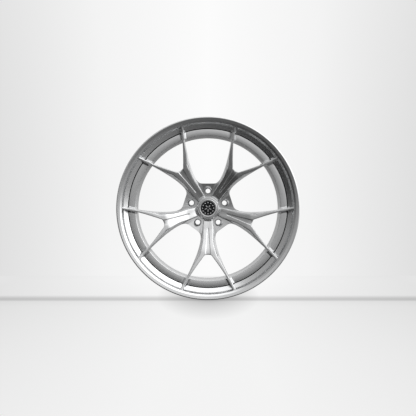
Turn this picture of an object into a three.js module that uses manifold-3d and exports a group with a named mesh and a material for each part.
// Three-piece forged wheel, 21 x 9 J, five Y-shaped spokes.
// Millimetres. The origin is the wheel's centre, the spin axis is Y, the street side faces -Y, +Z is up.
import * as THREE from 'three';
import Module from 'manifold-3d';
import { mergeVertices } from 'three/addons/utils/BufferGeometryUtils.js';

// ---- driving dimensions -------------------------------------------------------------------------
const GAP = 0.3; // clearance between touching pieces
const BEAD_R = 266.7; // bead seat radius of a 21 inch rim
const RIM_WIDTH = 228.6; // between the two bead flanges, 9 inches
const FLANGE_HEIGHT = 17.3; // J flange above the bead seat
const FLANGE_DEPTH = 12.7; // from the flange's tyre face to the rim's outer face
const WELL_DROP = 17.7; // drop centre below the bead seat
const WALL = 5; // barrel wall
const SEAT_DROP = 14.7; // bead seat down to the bore that the centre sits in
const RING_HEIGHT = 22.5; // radial height of the centre's mounting ring
const RING_SHOULDER = 7.6; // step from the ring's pilot down to its rear part
const RING_DEPTH = 27.5; // flat front of the mounting ring behind the rim's outer face
const RING_LENGTH = 44.5;
const RING_PILOT = 17.5; // length of the ring's widest part
const SEAM_WIDTH = 2; // groove between the ring and the outer half
const SEAM_DEPTH = 7;
const JOINT_FLANGE = 5; // outer half's bolting flange
const INNER_FLANGE = 6; // inner half's bolting flange
const OFFSET = 20; // mounting pad in front of the rim's middle plane
const HUB_DEPTH = 45; // hub boss face in front of the mounting pad
const WEB_DROP = 12; // floor round the lug holes, behind the hub boss face
const WEB_MARGIN = 23.45; // web beyond the lug circle
const PAD_MARGIN = 18.85; // mounting pad beyond the lug circle
const PCD_R = 57.15; // five lug holes on 114.3
const LUG_HOLE_R = 8;
const LUG_SEAT_R = 12.3; // mouth of the lug seat
const LUG_SEAT_ANGLE = Math.PI / 6; // from the hole's axis to the seat's wall
const LUG_POCKET_R = 17; // socket clearance round each lug hole
const CENTRE_BORE_R = 33.05;
const CAP_BORE_R = 28.5;
const BOSS_WALL = 8; // metal round the cap's counterbore
const CAP_LIP = 1.5; // cap's flange beyond its bore
const CAP_RIM = 5.1; // cap's silver rim, from the black disc out to the bore
const CAP_SPRING_HEIGHT = 2;
const BOLT_COUNT = 30;
const BOLT_R = 3.5; // M7 shank
const BOLT_HEAD_R = 6;
const BOLT_HEAD_HEIGHT = 5;
const BOLT_REACH = 13; // thread depth in the centre's ring
const SPOKES = 5;
const WAIST_HALF = 23.85; // narrowest half-width of a spoke
const WAIST_FROM_HUB = 39.85; // waist, measured out from the lug circle
const CROTCH_S = 147.5; // where a spoke splits in two
const CROTCH_HALF = 11.5;
const TIP_HALF = 2.55; // half-width of a leg's tip
const TIP_REACH = 3.5; // leg tips beyond the bead seat
const TIP_DEPTH = 8.4; // leg tips behind the rim's outer face
const TIP_ANGLE = THREE.MathUtils.degToRad(18.2); // leg tip from its spoke's axis
const TROUGH_DEPTH = 2.5; // shallow channel down each spoke
const VALVE_DEPTH = 22.7; // valve hole behind the joint of the two halves
const VALVE_ANGLE = THREE.MathUtils.degToRad(15.4); // valve from the spoke beside it
const VALVE_R = 4; // valve stem
const VALVE_WALL = 1.6;
const VALVE_LENGTH = 22; // stem showing inside the barrel
const RIM_SEGMENTS = 52; // a multiple of four, so that all four extremes lie on the flange
const HUB_SEGMENTS = 30;
const BOLT_SIDES = 6;

// ---- derived places -----------------------------------------------------------------------------
const FRONT = -(RIM_WIDTH / 2 + FLANGE_DEPTH); // outer face of the rim
const REAR = -FRONT;
const PAD = -OFFSET; // mounting pad
const HUB_FACE = PAD - HUB_DEPTH; // front of the hub boss
const WEB_FACE = HUB_FACE + WEB_DROP;
const WEB_EDGE = PCD_R + WEB_MARGIN; // web edge in the windows
const PAD_R = PCD_R + PAD_MARGIN;
const CAP_FLANGE_R = CAP_BORE_R + CAP_LIP;
const BOSS_R = CAP_FLANGE_R + BOSS_WALL;
const FLANGE_R = BEAD_R + FLANGE_HEIGHT;
const WELL_R = BEAD_R - WELL_DROP;
const WELL_BORE = WELL_R - WALL;
const SEAT_R = BEAD_R - SEAT_DROP; // bore for the centre's pilot
const RING_OUTER = SEAT_R - 1.6 * GAP;
const RING_INNER = RING_OUTER - RING_HEIGHT;
const RING_WAIST = RING_OUTER - RING_SHOULDER;
const RING_FRONT = FRONT + RING_DEPTH;
const RING_REAR = RING_FRONT + RING_LENGTH;
const JOINT_FRONT = RING_REAR + GAP;
const JOINT_PLANE = JOINT_FRONT + JOINT_FLANGE; // rear face of the outer half
const INNER_FRONT = JOINT_PLANE + GAP; // front face of the inner half
const INNER_REAR = INNER_FRONT + INNER_FLANGE;
const VALVE_PLANE = JOINT_PLANE + VALVE_DEPTH; // the valve hole's axis lies in it
const BARREL_CLEAR_R = WELL_BORE * Math.cos(Math.PI / RIM_SEGMENTS) - GAP; // all that fits in the barrel
const BOLT_CIRCLE = Math.min(RING_INNER + 0.463 * (RING_WAIST - RING_INNER), BARREL_CLEAR_R - BOLT_HEAD_R);
const TIP_R = BEAD_R + TIP_REACH;
const HALF_PITCH = Math.PI / SPOKES;

// ---- materials ----------------------------------------------------------------------------------
function finish(color, roughness, metalness) {
  return () => new THREE.MeshStandardMaterial({ color, roughness, metalness });
}

const brushed = finish(0xc9cbcd, 0.3, 1);
const polished = finish(0xd6d8da, 0.18, 1);
const steel = finish(0x9a9da0, 0.32, 1);
const blackLacquer = finish(0x0c0c0d, 0.2, 0);
const rubber = finish(0x151515, 0.8, 0);
const sealant = finish(0x2a2a2c, 0.6, 0);
const brass = finish(0xb59a55, 0.35, 1);

// ---- solids -------------------------------------------------------------------------------------
const wasm = await Module();
wasm.setup();

function toSolid(geometry) {
  const bare = geometry.clone();
  bare.deleteAttribute('normal');
  bare.deleteAttribute('uv');
  const welded = mergeVertices(bare, 1e-4);
  const vertProperties = new Float32Array(welded.attributes.position.array);
  const triVerts = new Uint32Array(welded.index.array);
  return new wasm.Manifold(new wasm.Mesh({ numProp: 3, vertProperties, triVerts }));
}

function toGeometry(solid) {
  const mesh = solid.getMesh();
  const geometry = new THREE.BufferGeometry();
  geometry.setAttribute('position', new THREE.BufferAttribute(new Float32Array(mesh.vertProperties), 3));
  geometry.setIndex(new THREE.BufferAttribute(new Uint32Array(mesh.triVerts), 1));
  geometry.computeVertexNormals();
  return geometry;
}

// A ring turned about Y from a closed outline of [radius, y] points, in either direction.
function turned(outline, segments = RIM_SEGMENTS) {
  const points = outline.map(([r, y]) => new THREE.Vector2(r, y));
  if (THREE.ShapeUtils.area(points) > 0) points.reverse();
  points.push(points[0].clone());
  const geometry = new THREE.LatheGeometry(points, segments);
  return outward(geometry);
}

// A body on the axis, from an open outline of [radius, y] points that starts and ends at radius 0.
function spindle(outline, segments) {
  const points = outline.map(([r, y]) => new THREE.Vector2(r, y));
  return outward(new THREE.LatheGeometry(points, segments));
}

// The geometry without zero-size triangles and with its faces pointing out.
function outward(geometry) {
  const bare = geometry.clone();
  bare.deleteAttribute('normal');
  bare.deleteAttribute('uv');
  const welded = mergeVertices(bare, 1e-4);
  const position = welded.attributes.position;
  const kept = [];
  const corner = [0, 1, 2].map(() => new THREE.Vector3());
  let volume = 0;
  for (let i = 0; i < welded.index.count; i += 3) {
    const ids = [0, 1, 2].map((k) => welded.index.getX(i + k));
    if (new Set(ids).size < 3) continue;
    ids.forEach((id, k) => corner[k].fromBufferAttribute(position, id));
    volume += corner[0].dot(corner[1].clone().cross(corner[2]));
    kept.push(...ids);
  }
  if (volume < 0) kept.reverse();
  welded.setIndex(kept);
  welded.computeVertexNormals();
  return welded;
}

// A plate between two y planes whose outline is drawn in the wheel's face, as [x, z] curves.
function plate(shape, yFrom, yTo, curveSegments = 6) {
  const depth = yTo - yFrom;
  const geometry = new THREE.ExtrudeGeometry(shape, { depth, bevelEnabled: false, curveSegments });
  geometry.rotateX(Math.PI / 2); // outline up becomes +Z, thickness runs towards -Y
  geometry.translate(0, yTo, 0);
  return geometry;
}

function around(geometry, angle) {
  return geometry.clone().rotateY(angle);
}

const ANGLES = Array.from({ length: SPOKES }, (_, i) => (2 * Math.PI * i) / SPOKES);
const windowAngles = ANGLES; // lug holes and wide windows: 0, 72, ...
const spokeAngles = ANGLES.map((a) => a + HALF_PITCH); // spokes and narrow windows: 36, 108, ...

function repeated(geometry, angles) {
  return angles.map((a) => toSolid(around(geometry, a))).reduce((sum, piece) => sum.add(piece));
}

// ---- outline of one spoke, in its own axes: a across it, s out from the wheel's centre ------------
const waist = new THREE.Vector2(WAIST_HALF, PCD_R + WAIST_FROM_HUB);
const tipDirection = new THREE.Vector2(Math.sin(TIP_ANGLE), Math.cos(TIP_ANGLE));
const tipNormal = new THREE.Vector2(tipDirection.y, -tipDirection.x);
const legTip = tipDirection.clone().multiplyScalar(TIP_R + 1);
const tipOuter = legTip.clone().addScaledVector(tipNormal, TIP_HALF);
const tipInner = legTip.clone().addScaledVector(tipNormal, -TIP_HALF);
const legHeading = new THREE.Vector2(0.503, 0.865);
const legLength = tipOuter.distanceTo(waist);
const legCurve = new THREE.CubicBezierCurve(
  waist,
  waist.clone().add(new THREE.Vector2(0.4, 0.19 * legLength)),
  tipOuter.clone().addScaledVector(legHeading, -0.362 * legLength),
  tipOuter,
);
const crotchCorner = new THREE.Vector2(CROTCH_HALF, CROTCH_S);
const knee = crotchCorner.clone().lerp(tipInner, 0.54).add(new THREE.Vector2(1.9, -1.2));

// Spoke axes seen from the window beside it: the window's axis points up.
function fromSpoke(point) {
  const c = Math.cos(HALF_PITCH);
  const n = Math.sin(HALF_PITCH);
  return new THREE.Vector2(-point.x * c + point.y * n, point.x * n + point.y * c);
}

function mirrored(points) {
  return points.map((p) => new THREE.Vector2(-p.x, p.y)).reverse();
}

function wideWindow() {
  const flat = new THREE.Vector2(WEB_EDGE * 0.205, WEB_EDGE);
  const waistSeen = fromSpoke(waist);
  const back = new THREE.Vector2(Math.sin(HALF_PITCH), Math.cos(HALF_PITCH)).multiplyScalar(-10);
  const fillet = new THREE.CubicBezierCurve(
    flat,
    flat.clone().add(new THREE.Vector2(10.5, 0)),
    waistSeen.clone().add(back),
    waistSeen,
  );
  const side = fillet.getPoints(4);
  side.push(...legCurve.getPoints(6).slice(1).map(fromSpoke));
  side.push(fromSpoke(tipOuter.clone().addScaledVector(tipDirection, 30)));
  return new THREE.Shape([...side, ...mirrored(side)]);
}

function narrowWindow() {
  const side = [
    new THREE.Vector2(CROTCH_HALF - 3, CROTCH_S),
    new THREE.Vector2(CROTCH_HALF, CROTCH_S + 1),
    new THREE.Vector2(CROTCH_HALF + 1.5, CROTCH_S + 4),
    knee,
    tipInner,
    tipInner.clone().addScaledVector(tipDirection, 30),
  ];
  return new THREE.Shape([...side, ...mirrored(side)]);
}

// The pocket round a lug hole: a round end whose sides run out along the two spokes beside it.
function lugPocket() {
  const landHalf = PCD_R * Math.sin(HALF_PITCH) - LUG_POCKET_R;
  const start = fromSpoke(new THREE.Vector2(landHalf, PCD_R * Math.cos(HALF_PITCH)));
  const along = fromSpoke(new THREE.Vector2(landHalf, waist.y - 2));
  const runOut = fromSpoke(new THREE.Vector2(waist.x + 5, waist.y + 27));
  const shape = new THREE.Shape([start, along, runOut, ...mirrored([start, along, runOut])]);
  const end = Math.atan2(start.y - PCD_R, start.x);
  shape.absarc(0, PCD_R, LUG_POCKET_R, Math.PI - end, end, false);
  return shape;
}

function trough() {
  const side = [
    new THREE.Vector2(0, PAD_R - 11),
    new THREE.Vector2(1.6, PAD_R - 10.4),
    new THREE.Vector2(2.2, PAD_R - 9),
    new THREE.Vector2(7, CROTCH_S - 22),
    new THREE.Vector2(9.2, CROTCH_S + 1),
  ];
  return new THREE.Shape([...side, ...mirrored(side.slice(1))]);
}

// ---- forged centre ------------------------------------------------------------------------------
// Turned outline of the spokes: street face out to the leg tips, back under the lip and along the rear.
function spokeBlank(lowered = 0) {
  const legSpan = RING_INNER - CROTCH_S - 2.5;
  const street = [
    [BOSS_R - 12, HUB_FACE + 8],
    [PCD_R + 12.85, HUB_FACE + 2],
    [PCD_R + 42.85, HUB_FACE - 12],
    [CROTCH_S - 13, FRONT + 31],
    [CROTCH_S + 2.5, FRONT + 28],
    [RING_INNER - 0.367 * legSpan, FRONT + 19],
    [SEAT_R - 2, FRONT + 12],
    [TIP_R, FRONT + TIP_DEPTH],
  ].map(([r, y]) => [r, y + lowered]);
  const underTip = [
    [TIP_R, FRONT + TIP_DEPTH + 1.2],
    [BEAD_R + 1.3, FRONT + 11.2],
    [BEAD_R - 2.1, FRONT + 11.6],
    [BEAD_R - 2.8, FRONT + 14],
    [SEAT_R - 1.1, RING_FRONT - 1.5],
  ];
  const rear = [
    [RING_WAIST - 3, FRONT + 50],
    [RING_INNER + 1, FRONT + 62],
    [RING_INNER - 0.4935 * legSpan, FRONT + 54],
    [CROTCH_S + 2.5, FRONT + 58],
    [PAD_R + 44, PAD - 37],
    [PAD_R + 19, PAD - 15],
    [PAD_R + 4, PAD - 4],
    [PAD_R, PAD],
    [BOSS_R - 12, PAD],
  ];
  return [...street, ...underTip, ...rear];
}

function mountingRing() {
  const seamFloor = RING_FRONT + SEAM_DEPTH;
  return turned([
    [RING_OUTER - SEAM_WIDTH, RING_FRONT],
    [RING_OUTER - SEAM_WIDTH, seamFloor],
    [RING_OUTER, seamFloor],
    [RING_OUTER, RING_FRONT + RING_PILOT],
    [RING_WAIST, RING_FRONT + RING_PILOT + 8],
    [RING_WAIST, RING_REAR],
    [RING_INNER, RING_REAR],
    [RING_INNER, RING_FRONT + 1.6],
    [RING_INNER + 1.6, RING_FRONT],
  ]);
}

function hubBoss() {
  const low = WEB_FACE + 2;
  return turned([
    [CAP_BORE_R - 6, HUB_FACE],
    [BOSS_R - 2.8, HUB_FACE],
    [BOSS_R - 1.6, HUB_FACE + 1],
    [BOSS_R, low],
    [CAP_BORE_R - 6, low],
  ], HUB_SEGMENTS);
}

function hubBore() {
  return spindle([
    [0, HUB_FACE - 5],
    [CAP_FLANGE_R + GAP + 0.1, HUB_FACE - 5],
    [CAP_FLANGE_R + GAP + 0.1, HUB_FACE + 4],
    [CAP_BORE_R, HUB_FACE + 4],
    [CAP_BORE_R, PAD - 19],
    [CENTRE_BORE_R, PAD - 14],
    [CENTRE_BORE_R, PAD - 1.5],
    [CENTRE_BORE_R + 3, PAD + 1.5],
    [0, PAD + 1.5],
  ], HUB_SEGMENTS);
}

function lugHole() {
  const seatDepth = (LUG_SEAT_R - LUG_HOLE_R) / Math.tan(LUG_SEAT_ANGLE);
  const hole = spindle([
    [0, WEB_FACE - 1],
    [LUG_SEAT_R + 0.6, WEB_FACE - 1],
    [LUG_HOLE_R, WEB_FACE + seatDepth],
    [LUG_HOLE_R, PAD + 1],
    [0, PAD + 1],
  ], 12);
  return hole.translate(0, 0, PCD_R);
}

// Weight-saving pocket in the pad between two lug holes.
function padPocket() {
  const pocket = spindle([[0, PAD - 13], [8, PAD - 13], [11, PAD - 10], [11, PAD + 1], [0, PAD + 1]], 8);
  return pocket.translate(0, 0, PCD_R + 1);
}

function boltHoles(yFrom, yTo, radius) {
  const hole = spindle([[0, yFrom], [radius, yFrom], [radius, yTo], [0, yTo]], BOLT_SIDES);
  hole.translate(0, 0, BOLT_CIRCLE);
  const angles = Array.from({ length: BOLT_COUNT }, (_, i) => (2 * Math.PI * (i + 0.5)) / BOLT_COUNT);
  return repeated(hole, angles);
}

function centreDisc() {
  const open = FRONT - 10;
  const far = PAD + 10;
  const troughTop = toSolid(plate(trough(), open, PAD - 30));
  const troughCut = troughTop.subtract(toSolid(turned(spokeBlank(TROUGH_DEPTH))));
  return toSolid(turned(spokeBlank()))
    .subtract(repeated(plate(wideWindow(), open, far), windowAngles))
    .subtract(repeated(plate(narrowWindow(), open, far), spokeAngles))
    .subtract(repeated(toGeometry(troughCut), spokeAngles))
    .subtract(repeated(plate(lugPocket(), open, WEB_FACE), windowAngles))
    .add(toSolid(hubBoss()))
    .add(toSolid(mountingRing()))
    .subtract(toSolid(hubBore()))
    .subtract(repeated(lugHole(), windowAngles))
    .subtract(repeated(padPocket(), spokeAngles))
    .subtract(boltHoles(RING_REAR - BOLT_REACH - 1, RING_REAR + 1, BOLT_R + GAP));
}

// ---- rim halves ---------------------------------------------------------------------------------
// The J flange from the bead seat's heel over its round edge, as [radius, distance from the outer face].
function flangeOutline() {
  const heel = FLANGE_DEPTH;
  const arc = [];
  for (let i = 0; i <= 4; i++) {
    const turn = (i / 4) * 0.5 * Math.PI;
    arc.push([FLANGE_R - 9.2 + 9.2 * Math.sin(turn), heel - 9.2 + 9.2 * Math.cos(turn)]);
  }
  return [
    [BEAD_R, heel + 6.5],
    [BEAD_R + 1.9, heel + 1.9],
    [BEAD_R + 6, heel],
    ...arc,
    [FLANGE_R - 0.5, 1.6],
    [FLANGE_R - 2, 0.3],
  ];
}

function outerHalf() {
  const tyreSide = [
    [WELL_R - 1.8, JOINT_PLANE],
    [WELL_R, JOINT_PLANE - 2.4],
    [WELL_R, RING_FRONT + RING_PILOT + 7],
    [BEAD_R - 1.7, FRONT + 37],
    [BEAD_R - 0.9, FRONT + 34],
    [BEAD_R - 1.7, FRONT + 31.5],
  ];
  const flange = flangeOutline().map(([r, d]) => [r, FRONT + d]);
  const face = [
    [FLANGE_R - 3.6, FRONT],
    [FLANGE_R - 8.2, FRONT + 0.3],
    [FLANGE_R - 9.4, FRONT + 1.4],
    [FLANGE_R - 11.2, FRONT + 5],
    [FLANGE_R - 12.2, FRONT + 9.5],
    [FLANGE_R - 14, FRONT + 11.8],
    [BEAD_R + 0.8, FRONT + 12.5],
    [BEAD_R - 0.8, FRONT + 12.8],
    [BEAD_R - 1.7, FRONT + 14.5],
    [SEAT_R, RING_FRONT - 1],
    [SEAT_R, RING_FRONT + RING_PILOT],
    [RING_WAIST + 2 * GAP, RING_FRONT + RING_PILOT + 8],
    [RING_WAIST + 2 * GAP, JOINT_FRONT],
    [RING_INNER + GAP, JOINT_FRONT],
    [RING_INNER + GAP, JOINT_PLANE],
  ];
  const ring = toSolid(turned([...tyreSide, ...flange, ...face]));
  return ring.subtract(boltHoles(JOINT_FRONT - 1, JOINT_PLANE + 1, BOLT_R + GAP));
}

// Turns a piece built on the Y axis so that it points out from the wheel's axis at the valve.
function atValve(geometry) {
  return geometry
    .rotateX(Math.PI / 2)
    .rotateY(HALF_PITCH + VALVE_ANGLE)
    .translate(0, VALVE_PLANE, 0);
}

function innerHalf() {
  const rearSeat = REAR - FLANGE_DEPTH;
  const tyreSide = [
    [WELL_R - 1.8, INNER_FRONT],
    [WELL_R, INNER_FRONT + 2.4],
    [WELL_R, VALVE_PLANE + 12],
    [BEAD_R - 8.7, VALVE_PLANE + 26],
    [BEAD_R - 7.2, rearSeat - 27],
    [BEAD_R - 0.9, rearSeat - 22.5],
    [BEAD_R - 1.7, rearSeat - 19.8],
  ];
  const flange = flangeOutline().map(([r, d]) => [r, REAR - d]);
  const inside = [
    [FLANGE_R - 3.6, REAR],
    [BEAD_R + 4.5, REAR],
    [BEAD_R + 0.5, REAR - 1.5],
    [BEAD_R - 3.4, REAR - 8],
    [BEAD_R - 6.5, rearSeat - 4],
    [BEAD_R - 7, rearSeat - 22],
    [BEAD_R - 12.2, rearSeat - 27],
    [BEAD_R - 13.7, VALVE_PLANE + 28],
    [WELL_BORE, VALVE_PLANE + 14],
    [WELL_BORE, INNER_REAR],
    [RING_INNER + GAP, INNER_REAR],
    [RING_INNER + GAP, INNER_FRONT],
  ];
  const valveHole = atValve(spindle([
    [0, WELL_BORE - 10],
    [VALVE_R + GAP, WELL_BORE - 10],
    [VALVE_R + GAP, WELL_R + 10],
    [0, WELL_R + 10],
  ], 16));
  return toSolid(turned([...tyreSide, ...flange, ...inside]))
    .subtract(boltHoles(INNER_FRONT - 1, INNER_REAR + 1, BOLT_R + GAP))
    .subtract(toSolid(valveHole));
}

// Bead of sealant in the groove that the two chamfered halves leave on the tyre side.
function seamSealant() {
  const middle = (JOINT_PLANE + INNER_FRONT) / 2;
  return turned([
    [WELL_R - 1.1, middle - 0.4],
    [WELL_R - 1.1, middle + 0.4],
    [WELL_R + 0.2, middle + 2.1],
    [WELL_R + 0.9, middle + 1.2],
    [WELL_R + 0.9, middle - 1.2],
    [WELL_R + 0.2, middle - 2.1],
  ]);
}

// Rim bolt, seen from the brake side: a tapered head under which the shank runs up into the centre.
function rimBolt(index) {
  const headBase = INNER_REAR + GAP;
  const headTop = headBase + BOLT_HEAD_HEIGHT;
  const tip = RING_REAR - BOLT_REACH;
  const bolt = spindle([
    [0, headTop],
    [BOLT_HEAD_R - 1, headTop],
    [BOLT_HEAD_R, headBase],
    [BOLT_R, headBase],
    [BOLT_R, tip],
    [0, tip],
  ], BOLT_SIDES);
  return bolt.translate(0, 0, BOLT_CIRCLE).rotateY((2 * Math.PI * (index + 0.5)) / BOLT_COUNT);
}

// ---- centre cap ---------------------------------------------------------------------------------
const CAP_FACE = HUB_FACE - 0.5;
const CAP_SKIRT_R = CAP_BORE_R - 1;
const EMBLEM_R = CAP_BORE_R - CAP_RIM;

function capBody() {
  const skirtEnd = HUB_FACE + 18;
  const groove = skirtEnd - 6;
  const grooveR = CAP_SKIRT_R - 1.6;
  return spindle([
    [0, CAP_FACE + 2.6],
    [EMBLEM_R + GAP, CAP_FACE + 2.6],
    [EMBLEM_R + GAP, CAP_FACE + 0.8],
    [EMBLEM_R + 1.2, CAP_FACE],
    [CAP_FLANGE_R - 1.6, CAP_FACE],
    [CAP_FLANGE_R, CAP_FACE + 1.6],
    [CAP_FLANGE_R, HUB_FACE + 4 - GAP - 1.4],
    [CAP_SKIRT_R - 1.4, HUB_FACE + 4 - GAP - 1.4],
    [CAP_SKIRT_R - 1.4, HUB_FACE + 4 + GAP],
    [CAP_SKIRT_R, HUB_FACE + 4 + GAP],
    [CAP_SKIRT_R, groove],
    [grooveR, groove],
    [grooveR, groove + CAP_SPRING_HEIGHT + 2 * GAP],
    [CAP_SKIRT_R, groove + CAP_SPRING_HEIGHT + 2 * GAP],
    [CAP_SKIRT_R - 0.8, skirtEnd],
    [CAP_SKIRT_R - 4, skirtEnd],
    [CAP_SKIRT_R - 4, CAP_FACE + 6],
    [0, CAP_FACE + 6],
  ], HUB_SEGMENTS);
}

function capEmblem() {
  const low = CAP_FACE + 2.6 - GAP;
  return spindle([
    [0, CAP_FACE + 0.2],
    [EMBLEM_R - 2, CAP_FACE + 0.3],
    [EMBLEM_R, CAP_FACE + 1.1],
    [EMBLEM_R, low],
    [0, low],
  ], HUB_SEGMENTS);
}

function capRing(yFrom, yTo, inner, outer) {
  return turned([[inner, yFrom], [outer, yFrom], [outer, yTo], [inner, yTo]], HUB_SEGMENTS);
}

function capSeal() {
  return capRing(HUB_FACE + 4 - 1.4, HUB_FACE + 4, CAP_SKIRT_R - 1.4 + GAP, CAP_BORE_R - GAP);
}

function capSpring() {
  const start = HUB_FACE + 12 + GAP;
  return capRing(start, start + CAP_SPRING_HEIGHT, CAP_SKIRT_R - 1.6 + GAP, CAP_BORE_R - GAP);
}

// ---- valve, built along its own axis: height is distance from the wheel's axis --------------------
const NUT_TOP = WELL_BORE - 1;
const STEM_END = WELL_BORE - VALVE_LENGTH;
const VALVE_BORE_R = VALVE_R - VALVE_WALL;
const VALVE_HEAD_R = VALVE_R + 4.5;

function hollow(outline, segments = 16) {
  return atValve(turned(outline, segments));
}

function valveStem() {
  return hollow([
    [VALVE_BORE_R, STEM_END],
    [VALVE_R - 0.5, STEM_END],
    [VALVE_R, STEM_END + 0.6],
    [VALVE_R, WELL_R + 0.9],
    [VALVE_HEAD_R, WELL_R + 3.4],
    [VALVE_HEAD_R, WELL_R + 5.4],
    [VALVE_R + 1, WELL_R + 7.4],
    [VALVE_BORE_R, WELL_R + 7.4],
  ]);
}

function valveSeal() {
  return hollow([
    [VALVE_R + GAP, WELL_R + 0.5],
    [VALVE_HEAD_R, WELL_R + 0.5],
    [VALVE_HEAD_R, WELL_R + 2.9],
    [VALVE_R + GAP, WELL_R + 0.7],
  ]);
}

function valveNut() {
  const corner = VALVE_R + 3;
  const corners = [0, 60, 120, 180, 240, 300].map((degrees) => {
    const turn = THREE.MathUtils.degToRad(degrees);
    return new THREE.Vector2(corner * Math.cos(turn), corner * Math.sin(turn));
  });
  const hexagon = new THREE.Shape(corners);
  const bore = new THREE.Path();
  bore.absarc(0, 0, VALVE_R + GAP, 0, 2 * Math.PI, true);
  hexagon.holes.push(bore);
  return atValve(plate(hexagon, NUT_TOP - 6.3, NUT_TOP - 1.3, 8));
}

function valveWasher() {
  return hollow([
    [VALVE_R + GAP, NUT_TOP - 1],
    [VALVE_R + 3.8, NUT_TOP - 1],
    [VALVE_R + 3.8, NUT_TOP - 0.1],
    [VALVE_R + GAP, NUT_TOP - 0.1],
  ]);
}

function valveCore() {
  return hollow([
    [1, STEM_END + 2.5],
    [VALVE_BORE_R - GAP, STEM_END + 2.5],
    [VALVE_BORE_R - GAP, STEM_END + 14],
    [1, STEM_END + 14],
  ], 12);
}

function valvePin() {
  return atValve(spindle([
    [0, STEM_END + 0.4],
    [0.65, STEM_END + 0.4],
    [0.65, STEM_END + 15],
    [VALVE_BORE_R - 0.8, STEM_END + 15],
    [VALVE_BORE_R - 0.8, STEM_END + 16.5],
    [0, STEM_END + 16.5],
  ], 10));
}

function valveCapSeal() {
  return hollow([
    [1.4, STEM_END - 1.3],
    [VALVE_R - 0.4, STEM_END - 1.3],
    [VALVE_R - 0.4, STEM_END - GAP],
    [1.4, STEM_END - GAP],
  ]);
}

function valveCap() {
  const top = STEM_END - 3.2;
  return atValve(spindle([
    [0, top],
    [VALVE_R - 0.4, top],
    [VALVE_R + 0.6, top + 1.2],
    [VALVE_R + 1.2, STEM_END + 7.5],
    [VALVE_R + GAP, STEM_END + 7.5],
    [VALVE_R + GAP, STEM_END - 1.3 - GAP],
    [0, STEM_END - 1.3 - GAP],
  ], 16));
}

// ---- assembly -----------------------------------------------------------------------------------
const wheel = new THREE.Group();

function place(name, geometry, material, group = wheel) {
  const mesh = new THREE.Mesh(geometry, material());
  mesh.name = name;
  group.add(mesh);
}

place('centre_disc', toGeometry(centreDisc()), brushed);
place('outer_rim_half', toGeometry(outerHalf()), polished);
place('inner_rim_half', toGeometry(innerHalf()), brushed);
place('seam_sealant', seamSealant(), sealant);

const bolts = new THREE.Group();
for (let i = 0; i < BOLT_COUNT; i++) {
  place(`rim_bolt_${String(i + 1).padStart(2, '0')}`, rimBolt(i), steel, bolts);
}
wheel.add(bolts);

const cap = new THREE.Group();
place('cap_body', capBody(), polished, cap);
place('cap_emblem', capEmblem(), blackLacquer, cap);
place('cap_seal', capSeal(), rubber, cap);
place('cap_spring_ring', capSpring(), steel, cap);
wheel.add(cap);

const valve = new THREE.Group();
place('valve_stem', valveStem(), steel, valve);
place('valve_seal', valveSeal(), rubber, valve);
place('valve_washer', valveWasher(), steel, valve);
place('valve_nut', valveNut(), steel, valve);
place('valve_core', valveCore(), brass, valve);
place('valve_pin', valvePin(), brass, valve);
place('valve_cap_seal', valveCapSeal(), rubber, valve);
place('valve_cap', valveCap(), blackLacquer, valve);
wheel.add(valve);

export default wheel;
